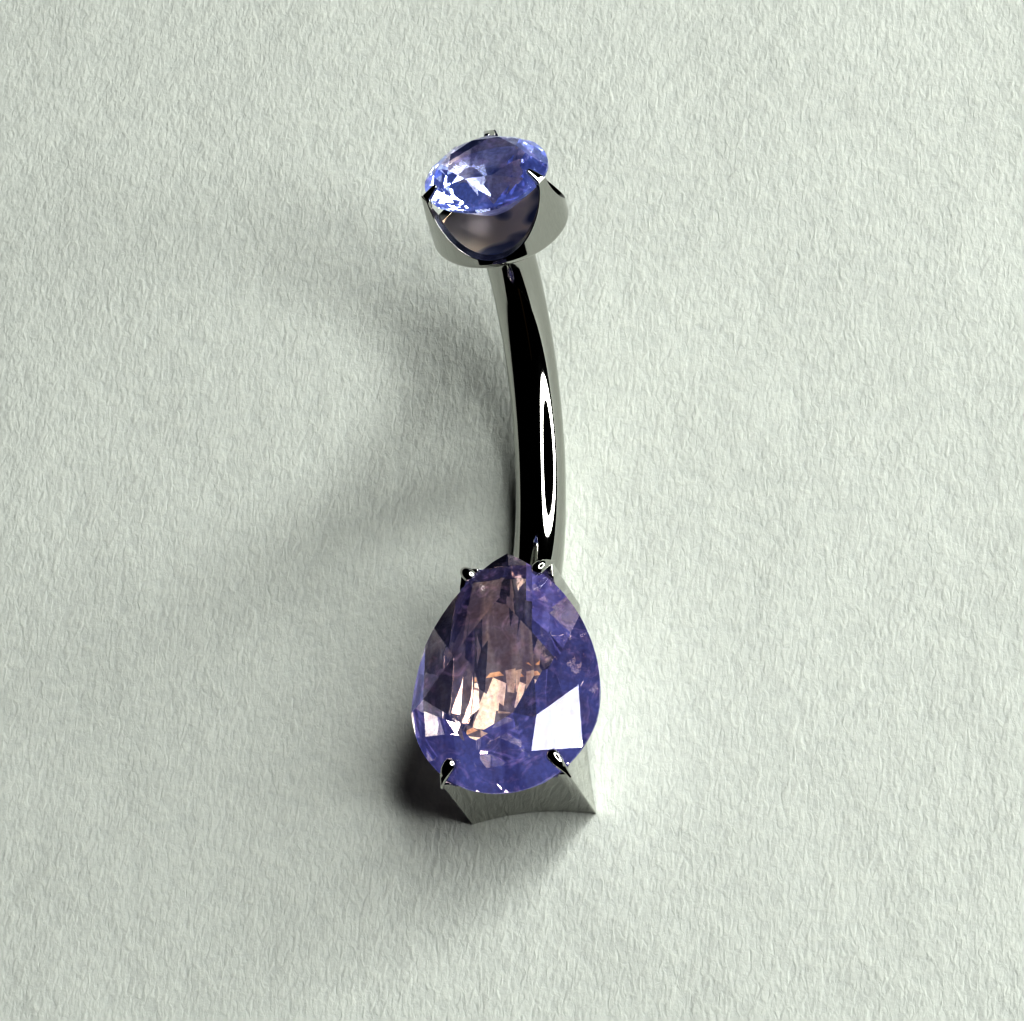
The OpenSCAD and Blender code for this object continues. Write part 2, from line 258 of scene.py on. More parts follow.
def add_bump(tree, height, strength, distance, below=None):
    """Tilts the surface by a height, on top of the tilt of an earlier bump where one is given."""
    bump = tree.nodes.new("ShaderNodeBump")
    bump.inputs["Strength"].default_value = strength
    bump.inputs["Distance"].default_value = distance
    link(tree, height, bump.inputs["Height"])
    if below:
        link(tree, below, bump.inputs["Normal"])
    return bump.outputs["Normal"]


def add_glow(tree, colour, power):
    """Light of one colour and power, for a surface or for each metre of a volume."""
    glow = tree.nodes.new("ShaderNodeEmission")
    glow.inputs["Color"].default_value = (*colour, 1)
    glow.inputs["Strength"].default_value = power
    return glow.outputs["Emission"]


def glowing(name, colour, power=1.0):
    """A finish that only gives off light of one colour."""
    m, t = new_material(name)[:2]
    link(t, add_glow(t, colour, power), t.nodes["Material Output"].inputs["Surface"])
    return m


# %% [markdown]
# ## Mirror-polished titanium
# Polished titanium is a slightly grey mirror. What makes it look real is what it mirrors, and
# faint waves that the buffing wheel leaves, so the colour stays neutral and a very low bump on
# Object coordinates bends the reflections a little. No wheel reaches inside the cup, so the metal
# there is rougher, with cream and navy clouds in its colour as painted reflections of the round
# stone. The cut edges of its windows are painted dark as shade.

# %% Metal finish
haze_scale, wave_scale, reflection_cloud_scale, wave_strength, wave_height = 2500, 700, 430, 0.1, 0.00002
rough_range, reflection_cloud_full, reflection_cloud_none = 2.2, 0.41, 0.49


def polished_metal(name, colour, rough, reflected_colour=None):
    """Metallic shader; roughness and bump come from two sizes of noise in Object coordinates. Given
    a second colour, clouds of it are mixed into the metal's colour as painted reflections."""
    m, t, shader = new_material(name)
    place = t.nodes.new("ShaderNodeTexCoord").outputs["Object"]
    shader.inputs["Base Color"].default_value = (*colour, 1)
    shader.inputs["Metallic"].default_value = 1
    spread = t.nodes.new("ShaderNodeMapRange")
    spread.inputs["To Min"].default_value = rough
    spread.inputs["To Max"].default_value = rough * rough_range
    link(t, add_noise(t, place, haze_scale, 5), spread.inputs["Value"])
    link(t, spread.outputs["Result"], shader.inputs["Roughness"])
    if reflected_colour:
        # Painted reflections: clouds of the second colour, not stains of the metal.
        cloud = add_noise(t, place, reflection_cloud_scale, 2)
        reflection_clouds = add_ramp(t, cloud, ((reflection_cloud_full, reflected_colour), (reflection_cloud_none, colour)))
        link(t, reflection_clouds, shader.inputs["Base Color"])
    waves = add_bump(t, add_noise(t, place, wave_scale, 2), wave_strength, wave_height)
    link(t, waves, shader.inputs["Normal"])
    return m


titanium, painted_shade_grey = (0.535, 0.535, 0.51), (0.16, 0.16, 0.17)
cream, navy = (0.95, 0.86, 0.74), (0.15, 0.19, 0.33)
bar_metal = polished_metal("polished titanium of bar and basket", titanium, 0.03)
cup_metal = polished_metal("polished titanium of cup", titanium, 0.03)
# Cream with navy clouds: painted reflections of the round stone inside the cup.
bored_painted_metal = polished_metal("bored titanium inside the cup, with painted reflections", cream, 0.24, navy)
# Near-black metal on the windows' cut edges: painted shade.
shaded_edge_metal = polished_metal("cut edges of the cup's windows, painted dark as shade", painted_shade_grey, 0.12)
print("metal finishes:", [m.name for m in (bar_metal, cup_metal, bored_painted_metal, shaded_edge_metal)])

# %% [markdown]
# ## The bar
# The real bar is drawn wire, bent round a former, soldered to the basket and bored at its upper
# end. It is a circle carried along a path of a straight stub, an arc and a straight end. At the
# root the circle widens in a small fillet of solder, and at the end it turns inwards as the bore.

# %% Bar surface
solder_out, solder_l, rim_r, bore_chamfer = 0.16, 0.3, 0.05, 0.03
stub_steps, turn_steps, end_steps, rim_steps = 16, 90, 12, 6


def bar_rings(around=96):
    """Circle of radius r(s) carried along the path: centre(s) + r (cos w N + sin w X), where N is
    the path's normal in the middle plane and X points sideways."""
    stub = np.linspace(-basket_wall / 2, bar_stub, stub_steps)
    turn = np.linspace(-fall, rise, turn_steps)[1:]
    straight = np.linspace(ring_step, bar_straight - rim_r, end_steps)
    bevel = np.linspace(0, math.pi / 2, rim_steps)
    depth = np.array([0, bore_chamfer, post_l, post_l + post_gap])
    d_low, d_high = unit(-bar_fall), unit(bar_rise)
    low = root + stub[:, None] * d_low
    arc = bend + bend_r * np.stack([np.sin(turn), -np.cos(turn)], -1)
    high = bar_end - bar_straight * d_high + straight[:, None] * d_high
    rim = bar_end + (rim_r * (np.sin(bevel) - 1))[:, None] * d_high
    bore = bar_end - depth[:, None] * d_high
    centre = np.concatenate([low, arc, high, rim, bore])
    after = end_steps + rim_steps + len(depth)
    angle = np.concatenate([np.full(stub_steps, -fall), turn, np.full(after, rise)])
    solder = bar_r + solder_out * np.clip(1 - (stub - ring_step) / solder_l, 0, 1) ** 2.5
    hole = post_d / 2 + post_gap
    radius = np.concatenate([solder, np.full(turn_steps - 1 + end_steps, bar_r),
                             bar_r - rim_r + rim_r * np.cos(bevel),
                             [hole + bore_chamfer, hole, hole, hole - rim_r]])
    w = full_turn(around)
    normal = np.stack([-np.sin(angle), np.cos(angle)], -1)
    y, z = sweep(centre, normal, radius[:, None] * np.cos(w))
    return np.stack([radius[:, None] * np.sin(w), y, z], -1)


settle(ring_mesh("bar", lay(bar_rings())), bar_metal, "curved_bar")

# %% [markdown]
# ## The basket's walls
# The basket is one band of metal, milled to four hollow panels that meet in crisp ridges. At each
# height the plan is four arcs between fixed corners, shallower at the girdle than at the feet. The
# wall's top follows the underside of the stone. The grid runs round the plan one way and round the
# wall's section the other way.

# %% Basket plan
corners = np.array([front_corner, rear_corner, rear_corner * (-1, 1), front_corner * (-1, 1)])
scoops = (side_scoop, rear_scoop, side_scoop, front_scoop)
side_steps, ridge_steps, ridge_r = 60, 6, 0.035


def circle_cross(c1, r1, c2, r2, near):
    """The crossing of two circles that lies closest to the point near."""
    d = c2 - c1
    l = math.hypot(*d)
    a = (r1 ** 2 - r2 ** 2 + l ** 2) / (2 * l)
    h = math.sqrt(max(r1 ** 2 - a ** 2, 0))
    m, k = c1 + a * d / l, np.array([-d[1], d[0]]) / l * h
    return min((m + k, m - k), key=lambda p: math.hypot(*(p - near)))


def plan_loop(z, deep):
    """The plan at height z, deeper inside by deep: each side is an arc of its scoop's circle that
    is pushed outwards with height and stops at the chord, and each ridge is a small round."""
    sides = []
    fade = scoop_fade * (z - foot_z) / basket_h
    circles = []
    for i in range(4):
        a, b = corners[i], corners[(i + 1) % 4]
        chord = math.hypot(*(b - a))
        r = ((chord / 2) ** 2 + scoops[i] ** 2) / (2 * scoops[i])
        out = np.array([b[1] - a[1], a[0] - b[0]]) / chord
        circles.append(((a + b) / 2 + out * (r - scoops[i] + fade), r + deep, out, (b - a) / chord))
    ends = [circle_cross(*circles[i - 1][:2], *circles[i][:2], corners[i]) for i in range(4)]
    for i in range(4):
        mid, r, out, along = circles[i]
        a, b = (corners[i], corners[(i + 1) % 4]) if deep == 0 else (ends[i], ends[(i + 1) % 4])
        ta, tb = (a - mid) @ along, (b - mid) @ along
        t = np.linspace(ta + ridge_r, tb - ridge_r, side_steps)
        drop = np.sqrt(np.maximum(r ** 2 - t ** 2, 0))
        if deep == 0:
            drop = np.maximum(drop, (mid - corners[i]) @ out)
        sides.append(mid + t[:, None] * along - drop[:, None] * out)
    loop = []
    step = np.linspace(0, 1, ridge_steps + 2)[1:-1, None]
    for i in range(4):
        tip = corners[(i + 1) % 4] if deep == 0 else ends[(i + 1) % 4]
        a, b = sides[i][-1], sides[(i + 1) % 4][0]
        loop += [sides[i], (1 - step) ** 2 * a + 2 * step * (1 - step) * tip + step ** 2 * b]
    return np.concatenate(loop)


print("plan of", len(plan_loop(foot_z, 0)), "points; ridges rounded over", ridge_r, "mm")

# %% [markdown]
# The rim's height at a place in the plan is the highest of the stone's main pavilion planes there,
# less the small gap. Outside the stone's edge it rises to the girdle, where the claws start.

# %% Basket rim and section
pavilion_dirs = (90, 50, 8, -42, -90, -138, 172, 130)
plan_top, edge_r, edge_blend = -0.3, 0.03, 0.05
edge_turns = (0.3, 0.6, 1)


def inside_outline(p):
    """How far inside the pear outline, widened by the gap, each flat point lies: the least of
    support + gap - a.p over the directions a all round."""
    return np.min([unit(a) @ pear_touch(a) + stone_gap - p @ unit(a) for a in range(-180, 180, 3)], 0)


def under_stone(p):
    """Height of the stone's underside with its gap: the greatest of z = -g - (s - a.p)(d - g)/s
    over main facets with direction a and support s."""
    facets = []
    for a in pavilion_dirs:
        s = unit(a) @ pear_touch(a)
        slope = (pear_pavilion - girdle_half) / s
        facets.append(-girdle_half - (s - p @ unit(a)) * slope - stone_gap * math.hypot(1, slope))
    outside = np.clip(-inside_outline(p) / edge_blend, 0, 1)
    return np.minimum(np.max(facets, 0), -girdle_half) * (1 - outside) + girdle_half * outside


def basket_rings():
    """Point = plan_out (1 - w) + plan_in w at height z, where (w, z) goes round the wall's section:
    up the outside and over the rim, then down the inside and under the foot. Each edge is round."""
    low_out, low_in = (plan_loop(foot_z, deep) for deep in (0, basket_wall))
    high_out, high_in = (plan_loop(plan_top, deep) for deep in (0, basket_wall))
    rows = []

    def level(w, share, push):
        """One ring at share of the way up the wall at depth w, then pushed up by push."""
        flat = high_out * (1 - w) + high_in * w
        rim = under_stone(flat)
        z = foot_z + (rim - foot_z) * share + push
        q = ((z - foot_z) / (plan_top - foot_z))[:, None]
        plan = (low_out * (1 - w) + low_in * w) * (1 - q) + flat * q
        rows.append(np.column_stack([plan, z]))

    climb = np.concatenate([[0.0], np.linspace(0.04, 0.96, 30), [1.0]])
    edge = [(edge_r / basket_wall * q, edge_r * (1 - math.sin(q * math.pi / 2))) for q in edge_turns]
    for face, shares, across in ((0, climb, np.linspace(0.15, 0.85, 8)),
                                 (1, climb[::-1], (0.8, 0.6, 0.4, 0.2))):
        end, inwards = 1 - face, 2 * face - 1
        for share in shares:
            level(face, share, edge_r * (share == 0) - edge_r * (share == 1))
        for w, push in edge:
            level(abs(face - w), end, inwards * push)
        for w in across:
            level(w, end, 0)
        for w, push in edge[::-1]:
            level(abs(end - w), end, inwards * push)
    return np.array(rows)


basket = ring_mesh("basket", lay(basket_rings()), torus=True)
settle(basket, bar_metal, "curved_bar")

# %% [markdown]
# ## The basket's claws
# Each claw is a thorn that grows out of its ridge, bends over the girdle and ends in a round bead
# that was pressed onto the crown. It is a circle carried along a bent path, thin at the ridge and
# thick at the bead, and whatever would lie inside the stone is lifted onto its crown.

# %% Claw surfaces
crown_dirs = (52, 27, -36, -90, -144, 153, 128)
claw_root_h, claw_root_r, claw_steps, bead_steps = 0.12, 0.05, 40, 14


def over_stone(p):
    """Height of the crown's main facets with the gap: the least of z = g + (s - a.p) m, with m the
    crown's slope, and the table's level."""
    m = (pear_crown - girdle_half) / pear_bezel
    high = np.full(p.shape[:-1], pear_crown + stone_gap)
    for a in crown_dirs:
        s = unit(a) @ pear_touch(a)
        high = np.minimum(high, girdle_half + (s - p @ unit(a)) * m + stone_gap * math.hypot(1, m))
    return high


def claw_rings(corner, a, reach, tip_r, around=40):
    """Circle of radius r(s) along a path from the ridge's top to the bead over the crown: r grows
    from a point to the bead's radius and closes as a quarter round."""
    inward = -unit(a)
    back, last = tip_r / 5, reach - tip_r
    ease = np.linspace(0, 1, claw_steps)
    along = -back + (last + back) * ease
    height = -claw_root_h + (claw_root_h + claw_rise) * np.sin(ease * math.pi / 2) ** 0.9
    path = np.stack([along, height], -1)
    step = np.gradient(path, axis=0)
    step = np.concatenate([step, np.repeat(step[-1:], bead_steps, 0)])
    step /= np.linalg.norm(step, axis=1)[:, None]
    cap = np.linspace(0, math.pi / 2, bead_steps + 1)[1:]
    grown = claw_root_r + (tip_r - claw_root_r) * np.sin(ease * math.pi / 2) ** 1.3
    radius = np.concatenate([grown, tip_r * np.cos(cap).clip(0.02)])
    path = np.concatenate([path, path[-1] + (tip_r * np.sin(cap))[:, None] * step[-1]])
    w = full_turn(around)
    normal = np.stack([-step[:, 1], step[:, 0]], -1)
    r, z = sweep(path, normal, radius[:, None] * np.cos(w))
    side = radius[:, None] * np.sin(w)
    flat = corner + r[..., None] * inward + side[..., None] * np.array([-inward[1], inward[0]])
    above = (inside_outline(flat) > 0) & (z > plan_top)
    z = np.where(above, np.maximum(z, over_stone(flat)), z)
    return np.concatenate([flat, z[..., None]], -1)


claw_dirs = (-front_turn, rear_turn, 180 - rear_turn, 180 + front_turn)
claw_reaches = (front_reach, rear_reach, rear_reach, front_reach)
for n, (corner, a, reach) in enumerate(zip(corners, claw_dirs, claw_reaches)):
    rings = claw_rings(corner, a, reach, claw_tip_r)
    settle(ring_mesh(f"basket_claw_{n + 1}", lay(rings), 60), bar_metal, "curved_bar")

# %% [markdown]
# ## The cup
# The round stone's cup is turned from rod: a post, a flat underside with a round edge and a thin
# wall. Three windows are then cut straight through the wall towards the middle, which leaves three
# claws that thin to a wedge inwards. The grid runs round the cup one way, and along the turned
# profile the other way, from the post's end to the middle of the dished floor. Only the height of
# the wall's top changes round the cup.

# %% Windows in the wall
claw_turns = (90, -30, 210)
claw_bend_h = cup_seat_h + cup_claw_h
cup_inner = cup_r - cup_wall
window_low, window_half, window_high = 0.36, 1.83, 2.15
steep_steps, steep_end, least_turn, claw_extra = 34, 59, 0.2, (54.5, 56, 58, 60)


def wall_top(r, turn):
    """Height left of the wall at radius r: each window's edge is half an ellipse across the
    window's own direction c, low + high (1 - sqrt(1 - (x / half)^2)) with x = r sin(turn - c)."""
    off = (turn - claw_turns[0]) % 120 - 60
    x = np.abs(r * np.sin(np.radians(off)))
    edge = window_low + window_high * (1 - np.sqrt(np.clip(1 - (x / window_half) ** 2, 0, 1)))
    return np.minimum(edge, claw_bend_h)


def cup_turn_samples():
    """Directions round the cup, closer together where a window's edge is steep: equal steps of
    the ellipse's own angle p, with x = half sin p, at four radii through the wall. A claw's middle
    is 60 degrees from a window's."""
    p = np.radians(np.linspace(0, 90, steep_steps))
    d = np.concatenate([np.degrees(np.arcsin(np.clip(window_half * np.sin(p) / r, 0, 1)))
                        for r in (cup_r, cup_r - 0.1, cup_r - 0.2, cup_inner)])
    d = np.unique(np.concatenate([d[d < steep_end], claw_extra]).round(2))
    d = d[np.concatenate([[True], np.diff(d) > least_turn])]
    half = np.concatenate([-d[:0:-1], d[:-1]])
    return np.sort(np.concatenate([(half + c + 60) % 360 for c in claw_turns]))


print("directions round the cup:", len(cup_turn_samples()))

# %% [markdown]
# The cup is one closed surface with three finishes, told apart by the rings between which a face
# lies: polished outside, painted dark as shade along the cut edges of the windows, and bored inside
# with painted reflections.

# %% Cup surface
cut_r, hub_r, post_edge, post_tight, post_fillet = 0.02, 0.05, 0.08, 0.02, 0.03
under_steps, edge_steps, wall_steps, top_steps, bored_steps, dish_steps = 8, 12, 26, 19, 24, 26


def cup_rings():
    """Turned profile (r, h) at each direction: post, underside, round edge, outside wall, cut top,
    inside wall, dished floor. The numbers of the rings where the dark cut edges and the bored
    surface start come with the rings."""
    turn = cup_turn_samples()
    t = np.radians(turn)
    rings = []

    def ring(r, h):
        """One ring at radius r and height h, which may both change round the cup."""
        r = np.broadcast_to(r, turn.shape)
        rings.append(np.stack([r * np.cos(t), r * np.sin(t), np.broadcast_to(h, turn.shape)], -1))

    post = post_d / 2
    for r, h in ((hub_r, -post_l), (post - post_edge, -post_l), (post - post_tight, post_tight - post_l),
                 (post, post_edge - post_l), (post, -post_l / 2), (post, -post_tight),
                 (post + post_fillet / 3, -post_fillet / 6), (post + post_fillet, 0)):
        ring(r, h)
    for r in np.linspace(post + 0.1, cup_r - cup_edge_r - ring_step, under_steps):
        ring(r, 0)
    for q in np.linspace(0, math.pi / 2, edge_steps):
        ring(cup_r - cup_edge_r + cup_edge_r * math.sin(q), cup_edge_r * (1 - math.cos(q)))
    high = wall_top(cup_r, turn)
    start = cup_edge_r + ring_step / 10
    for q in np.linspace(0, 1, wall_steps)[1:]:
        ring(cup_r, start + (high - cut_r - start) * q)
    for q in (0.35, 0.7, 1):
        p = q * math.pi / 2
        ring(cup_r - cut_r * (1 - math.cos(p)), high - cut_r + cut_r * math.sin(p))
    shaded_edge_from = len(rings)
    for q in np.linspace(0, 1, top_steps)[1:-1]:
        r = cup_r - cut_r + (cup_inner - cup_r + 2 * cut_r) * q
        ring(r, wall_top(r, turn))
    high = wall_top(cup_inner, turn)
    for q in (1, 0.7, 0.35, 0):
        p = q * math.pi / 2
        ring(cup_inner + cut_r * (1 - math.cos(p)), high - cut_r + cut_r * math.sin(p))
    bored_from = len(rings)
    dish_drop = dish_h - cup_floor
    dish_r = (cup_inner ** 2 + dish_drop ** 2) / (2 * dish_drop)
    floor_h = np.minimum(dish_h, high - cut_r - ring_step / 2)
    for q in np.linspace(0, 1, bored_steps)[1:]:
        ring(cup_inner, high - cut_r + (floor_h - high + cut_r) * q)
    for r in np.linspace(cup_inner - ring_step, hub_r, dish_steps):
        h = dish_r + cup_floor - math.sqrt(dish_r ** 2 - r ** 2)
        ring(r, np.minimum(h, floor_h))
    return np.array(rings), shaded_edge_from, bored_from


rings, shaded_edge_from, bored_from = cup_rings()
cup = settle(ring_mesh("cup", lay(on_bar_end(rings))), cup_metal, "round_setting")
cup.data.materials.append(bored_painted_metal)
cup.data.materials.append(shaded_edge_metal)
polished_slot, bored_slot, shaded_edge_slot = range(3)
around = rings.shape[1]
slots = np.full(len(cup.data.polygons), polished_slot)
# The windows' cut edges are painted dark as shade.
slots[(shaded_edge_from - 1) * around:] = shaded_edge_slot
slots[(bored_from - 1) * around:] = bored_slot
post_fan = (len(rings) - 1) * around
slots[post_fan:post_fan + around] = polished_slot
cup.data.polygons.foreach_set("material_index", slots)
print("faces of each finish:", np.bincount(slots))

# %% [markdown]
# Each cup claw ends in a finger that was bent in over the stone and filed to a narrow tip. It is a
# rounded rectangle carried along a path that goes up inside the wall, turns in a short bend and
# runs inwards, and it grows narrower and thinner on the way.

# %% Cup fingers
finger_w, finger_t, finger_tip_w, finger_tip_t, finger_bend_r = 0.37, 0.2, 0.17, 0.14, 0.06
finger_inset, finger_low, finger_short, finger_nose = 0.004, 1.95, 0.16, 0.07
up_steps, bend_steps, out_steps, nose_steps = 8, 12, 14, 10


def finger_rings(turn, more_lean, around=32):
    """Rounded rectangle (a superellipse of power 5) of width w(s) and thickness t(s), carried up
    the wall, round a small bend and along a line that rises inwards at the claw's lean."""
    lean_in = math.radians(cup_claw_lean + more_lean)
    r0 = cup_r - finger_inset - finger_t / 2
    turn_by = math.pi / 2 - lean_in
    q = np.linspace(0, turn_by, bend_steps)
    start_h = claw_bend_h - (finger_t / 2 + finger_bend_r) * math.tan(turn_by / 2) + ring_step
    arc = np.stack([r0 - finger_bend_r * (1 - np.cos(q)), start_h + finger_bend_r * np.sin(q)], -1)
    up = np.stack([np.full(up_steps, r0), np.linspace(finger_low, start_h - ring_step, up_steps)], -1)
    way = np.array([-math.cos(lean_in), math.sin(lean_in)])
    out = arc[-1] + np.linspace(ring_step, cup_claw_reach - finger_short, out_steps)[:, None] * way
    cap = np.linspace(0, math.pi / 2, nose_steps + 1)[1:]
    end = out[-1] + (finger_nose * np.sin(cap))[:, None] * way
    path = np.concatenate([up, arc, out, end])
    angle = np.concatenate([np.zeros(up_steps), q, np.full(out_steps + nose_steps, turn_by)])
    taper = np.concatenate([np.zeros(up_steps), np.linspace(0, 0.2, bend_steps),
                            np.linspace(0.22, 1, out_steps), np.ones(nose_steps)])
    size = np.concatenate([np.linspace(0.8, 1, up_steps), np.ones(bend_steps + out_steps),
                           np.cos(cap).clip(0.3) ** 0.6])
    half_w = (finger_w + (finger_tip_w - finger_w) * taper) / 2 * size
    half_t = (finger_t + (finger_tip_t - finger_t) * taper) / 2 * size
    w = full_turn(around) + math.pi / around
    cw, sw = np.cos(w), np.sin(w)
    k = (np.abs(cw) ** 5 + np.abs(sw) ** 5) ** (-1 / 5)
    a, b = cw * k, sw * k
    normal = np.stack([np.cos(angle), np.sin(angle)], -1)
    r, h = sweep(path, normal, half_t[:, None] * a)
    side = half_w[:, None] * b
    c, s = unit(turn)
    return np.stack([r * c - side * s, r * s + side * c, h], -1)


finger_leans = (-7, 5, 0)
for n, (turn, more_lean) in enumerate(zip(claw_turns, finger_leans)):
    finger = lay(on_bar_end(finger_rings(turn, more_lean)))
    settle(ring_mesh(f"cup_claw_{n + 1}", finger, 60), cup_metal, "round_setting")

# %% [markdown]
# ## Opal glass
# The stones are milky opal glass. Its haze scatters blue light and lets orange light through, so
# a stone is violet where it is lit and amber where bright paper shows through it. Following each
# scattered ray would take long and stay grainy, so two even things stand for the haze: absorption
# that takes the blue out of what passes, and a faint painted blue glow in the glass and at its
# surface. Clouds in the glass's colour and glow paint more of the light and shade seen through it.

# %% Stone finish
glass_ior, coat_ior = 1.56, 1.8


def opal_glass(name, haze, haze_glow, glow_colour, soak, patch, low_end, high_end):
    """Clear glass shell over a haze that absorbs towards the colour soak and gives off a painted
    violet-blue glow in place of the light it scatters. Noises cloud the shell with painted light and
    shade: brown patches for lit paper seen through, dark streaks along the stone for dark things
    seen through its facets, and fine mottling for the paper's fibres. Pale clouds and, where light
    is turned back inside as the Fresnel node tells, more blue are added as painted glow at the
    surface. low_end and high_end are (y, tint, blue glow) at the stone's two ends."""
    m, t, shader = new_material(name)
    place = t.nodes.new("ShaderNodeTexCoord").outputs["Object"]

    def noise(scale, detail, twist, along=1.0):
        """Noise in Object coordinates, drawn out along the stone where along is below 1."""
        stretch = t.nodes.new("ShaderNodeMapping")
        stretch.inputs["Scale"].default_value = (1, along, along)
        link(t, place, stretch.inputs["Vector"])
        return add_noise(t, stretch.outputs["Vector"], scale, detail, twist)

    def blend(kind, a, b, share=None):
        """Multiplies or adds two colours, by a share where one is given."""
        n = t.nodes.new("ShaderNodeMix")
        n.data_type, n.blend_type = "RGBA", kind
        n.inputs["Factor"].default_value = 1
        link(t, a, n.inputs["A"])
        link(t, b, n.inputs["B"])
        if share:
            link(t, share, n.inputs["Factor"])
        return n.outputs["Result"]

    split, reach = t.nodes.new("ShaderNodeSeparateXYZ"), t.nodes.new("ShaderNodeMapRange")
    link(t, place, split.inputs["Vector"])
    link(t, split.outputs["Y"], reach.inputs["Value"])
    reach.inputs["From Min"].default_value = low_end[0]
    reach.inputs["From Max"].default_value = high_end[0]
    ends, blue = (add_ramp(t, reach.outputs["Result"], ((0, low), (1, high)))
                  for low, high in zip(low_end[1:], high_end[1:]))
    clear = (1, 1, 1)
    # Painted light and shade seen through the stone: brown patches, dark streaks and fine mottling.
    brown = add_ramp(t, noise(1300, 8, 0.6), ((0.42, clear), (0.66, patch)))
    dark = add_ramp(t, noise(1500, 3, 0.3, 0.22), ((0.50, clear), (0.59, (0.52, 0.50, 0.62))))
    grain = add_ramp(t, noise(7500, 3, 0), ((0.38, (0.80, 0.77, 0.76)), (0.60, clear)))
    tint = blend("MULTIPLY", blend("MULTIPLY", blend("MULTIPLY", brown, dark), grain), ends)
    link(t, tint, shader.inputs["Base Color"])
    # Painted glow at the surface: pale clouds, and blue where light turns back inside.
    painted_glow_clouds = add_ramp(t, noise(900, 7, 2.5), ((0.57, (0, 0, 0)), (0.78, (0.17, 0.11, 0.15))))
    bounce = t.nodes.new("ShaderNodeFresnel")
    bounce.inputs["IOR"].default_value = glass_ior
    link(t, blend("ADD", painted_glow_clouds, blue, bounce.outputs["Fac"]), shader.inputs["Emission Color"])
    for field, value in (("Emission Strength", 1.0), ("Roughness", 0.0), ("IOR", glass_ior),
                         ("Transmission Weight", 1), ("Coat Weight", 0.2), ("Coat Roughness", 0.0),
                         ("Coat IOR", coat_ior)):
        shader.inputs[field].default_value = value
    absorb, both = t.nodes.new("ShaderNodeVolumeAbsorption"), t.nodes.new("ShaderNodeAddShader")
    absorb.inputs["Color"].default_value = (*soak, 1)
    absorb.inputs["Density"].default_value = haze
    link(t, absorb.outputs["Volume"], both.inputs[0])
    # Painted glow in the haze, in place of the light that it scatters.
    link(t, add_glow(t, glow_colour, haze_glow), both.inputs[1])
    link(t, both.outputs["Shader"], t.nodes["Material Output"].inputs["Volume"])
    return m


pear_glass = opal_glass("opal glass of pear stone", 125, 58, (0.34, 0.40, 1), (0.50, 0.38, 0.22),
                        (0.84, 0.72, 0.64), (-0.0095, (1, 1, 1), (0.05, 0.06, 0.14)),
                        (-0.0040, (0.93, 0.86, 0.82), (0.025, 0.022, 0.05)))
round_glass = opal_glass("opal glass of round stone", 100, 92, (0.33, 0.43, 0.95), (0.34, 0.42, 0.54),
                         (0.80, 0.80, 0.90), (0.006, (0.92, 0.95, 1), (0.05, 0.055, 0.10)),
                         (0.011, (0.84, 0.90, 1), (0.035, 0.045, 0.10)))
print("glass finishes:", pear_glass.name, "and", round_glass.name)

# %% [markdown]
# ## Cutting the stones
# A lapidary grinds one flat facet after another onto a turning stone, so a cut stone is all that
# lies below every facet's plane. A plane is given by the direction that it faces and two places
# on it. Outlines and depths are the CAD stones', but the crown facets face the ways that mirror
# the lamp as on the real ring, and one more ring of low facets goes round the pavilion's point. It
# breaks up what is seen through the table.

# %% Facet planes
round_d, round_crown, round_pavilion, round_bezel = 4, 0.65, 1.7, 0.85
round_dirs = (110, 65, 20, -25, -70, -115, -160, 155)
star_share, low_half_share, half_drop = 0.3, 0.22, 0.09


def leaning(a, reach, level, point):
    """The plane that faces direction a, holds the level line at distance reach and height level,
    and passes through point: normal (cos a sin e, sin a sin e, cos e) and its distance."""
    e = math.atan2(point[2] - level, reach - unit(a) @ point[:2])
    return (*(unit(a) * math.sin(e)), math.cos(e), reach * math.sin(e) + level * math.cos(e))


def lines_meet(a, da, b, db):
    """The point p with unit(a).p = da and unit(b).p = db."""
    return np.linalg.solve(np.array([unit(a), unit(b)]), [da, db])


def halfway(a, b):
    """The direction in the middle of the clockwise turn from a to b."""
    m = a - (a - b) % 360 / 2
    return m + 360 if m <= -180 else m


